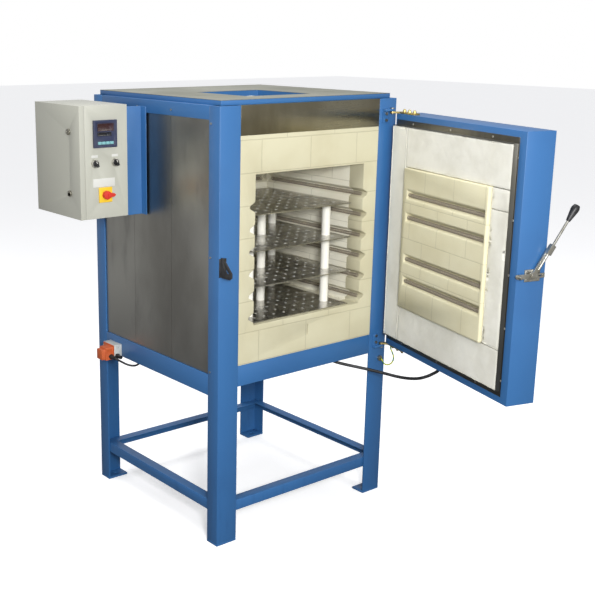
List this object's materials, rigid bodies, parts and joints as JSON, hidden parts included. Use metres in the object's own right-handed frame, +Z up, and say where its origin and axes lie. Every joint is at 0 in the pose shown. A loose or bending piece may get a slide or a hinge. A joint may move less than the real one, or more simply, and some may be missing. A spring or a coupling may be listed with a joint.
{
  "type": "jewellery kiln",
  "caption": "Front-loading electric kiln with a side-hung door, lever latch, shelved brick chamber and side control box on a floor stand.",
  "frame": {"origin": "floor level, midway between the four anchor holes of the foot plates", "axes": "+X to the right along the front, +Y from the front to the back, +Z up"},
  "size_m": [1.231, 1.7023, 1.618],
  "materials": {
    "blue_powder_coat": "semi-gloss",
    "stainless_sheet": "brushed",
    "insulating_brick": "matt, porous",
    "ceramic_fibre": "matt, soft",
    "element_wire": "oxidised",
    "white_ceramic": "matt",
    "polished_steel": "polished",
    "zinc_steel": "zinc plated",
    "dark_steel": "satin",
    "black_plastic": "satin",
    "grey_powder_coat": "semi-gloss",
    "navy_plastic": "satin",
    "teal_plastic": "satin",
    "red_plastic": "gloss",
    "orange_plastic": "satin",
    "cable_rubber": "matt",
    "earth_pvc": "gloss"
  },
  "bodies": {
    "kiln": {"front_posts": "blue_powder_coat", "rear_posts": "blue_powder_coat", "foot_plates": "blue_powder_coat", "stretchers": "blue_powder_coat", "bottom_rails": "blue_powder_coat", "top_rails": "blue_powder_coat", "floor_pan": "stainless_sheet", "side_panels": "stainless_sheet", "rear_panel": "stainless_sheet", "terminal_cover": "blue_powder_coat", "header_panel": "stainless_sheet", "top_cover": "blue_powder_coat", "top_sheet": "stainless_sheet", "backup_insulation": "ceramic_fibre", "brick_front": "insulating_brick", "side_walls": "insulating_brick", "back_wall": "insulating_brick", "roof_bricks": "insulating_brick", "hearth_bricks": "insulating_brick", "wall_elements": "element_wire", "thermocouple": "white_ceramic", "shelves": "polished_steel", "shelf_props": "white_ceramic", "hinge_brackets": "blue_powder_coat", "hinge_pins": "zinc_steel", "latch_keeper": "dark_steel", "box_bracket": "blue_powder_coat", "control_box": "grey_powder_coat", "control_gear": "zinc_steel", "controller": "navy_plastic", "switch_collars": "zinc_steel", "supply_connector": "orange_plastic", "supply_lead": "cable_rubber", "body_gland": "black_plastic", "door_cable": "cable_rubber", "earth_wire": "earth_pvc", "frame_screws": "zinc_steel"},
    "door": {"door_casing": "blue_powder_coat", "door_trim": "stainless_sheet", "door_lining": "ceramic_fibre", "door_bricks": "insulating_brick", "door_elements": "element_wire", "hinge_straps": "zinc_steel", "latch_plate": "zinc_steel", "door_gland": "black_plastic"},
    "latch": {"latch_lever": "zinc_steel", "lever_grip": "black_plastic"},
    "lid": {"control_lid": "grey_powder_coat"},
    "upper_lock": {"upper_lock": "zinc_steel"},
    "lower_lock": {"lower_lock": "zinc_steel"},
    "isolator": {"isolator_knob": "red_plastic"},
    "left_switch": {"left_switch": "black_plastic"},
    "right_switch": {"right_switch": "black_plastic"},
    "bung": {"vent_bung": "insulating_brick"},
    "key_1": {"key_1": "teal_plastic"},
    "key_2": {"key_2": "teal_plastic"},
    "key_3": {"key_3": "teal_plastic"},
    "key_4": {"key_4": "teal_plastic"}
  },
  "joints": [
    {"name": "door_hinge", "type": "hinge", "parent": "kiln", "child": "door", "pos_m": [0.394, -0.41, 1.093], "axis": [0, 0, 1], "range_deg": [-73.7, 44], "deforming": ["door_cable", "earth_wire"]},
    {"name": "latch_turn", "type": "hinge", "parent": "door", "child": "latch", "pos_m": [0.23722, -1.18307, 1.084], "axis": [-0.2807, -0.9598, 0], "range_deg": [0, 45]},
    {"name": "lid_hinge", "type": "hinge", "parent": "kiln", "child": "lid", "pos_m": [-0.6985, 0.338, 1.387], "axis": [0, 0, 1], "range_deg": [-120, 0]},
    {"name": "upper_lock_turn", "type": "hinge", "parent": "lid", "child": "upper_lock", "pos_m": [-0.719, 0.09, 1.494], "axis": [1, 0, 0], "range_deg": [0, 90]},
    {"name": "lower_lock_turn", "type": "hinge", "parent": "lid", "child": "lower_lock", "pos_m": [-0.719, 0.09, 1.275], "axis": [1, 0, 0], "range_deg": [0, 90]},
    {"name": "isolator_turn", "type": "hinge", "parent": "kiln", "child": "isolator", "pos_m": [-0.618, 0.017, 1.271], "axis": [0, -1, 0], "range_deg": [0, 90]},
    {"name": "left_switch_turn", "type": "hinge", "parent": "kiln", "child": "left_switch", "pos_m": [-0.659, 0.017, 1.385], "axis": [0, -1, 0], "range_deg": [-45, 45]},
    {"name": "right_switch_turn", "type": "hinge", "parent": "kiln", "child": "right_switch", "pos_m": [-0.575, 0.017, 1.385], "axis": [0, -1, 0], "range_deg": [-45, 45]},
    {"name": "key_1_press", "type": "slide", "parent": "kiln", "child": "key_1", "axis": [0, 1, 0], "range_m": [0, 0.0008], "stiffness_N_per_m": 1500, "springref_m": -0.0002},
    {"name": "key_2_press", "type": "slide", "parent": "kiln", "child": "key_2", "axis": [0, 1, 0], "range_m": [0, 0.0008], "stiffness_N_per_m": 1500, "springref_m": -0.0002},
    {"name": "key_3_press", "type": "slide", "parent": "kiln", "child": "key_3", "axis": [0, 1, 0], "range_m": [0, 0.0008], "stiffness_N_per_m": 1500, "springref_m": -0.0002},
    {"name": "key_4_press", "type": "slide", "parent": "kiln", "child": "key_4", "axis": [0, 1, 0], "range_m": [0, 0.0008], "stiffness_N_per_m": 1500, "springref_m": -0.0002},
    {"name": "bung_lift", "type": "slide", "parent": "kiln", "child": "bung", "axis": [0, 0, 1], "range_m": [0, 0.2]}
  ]
}
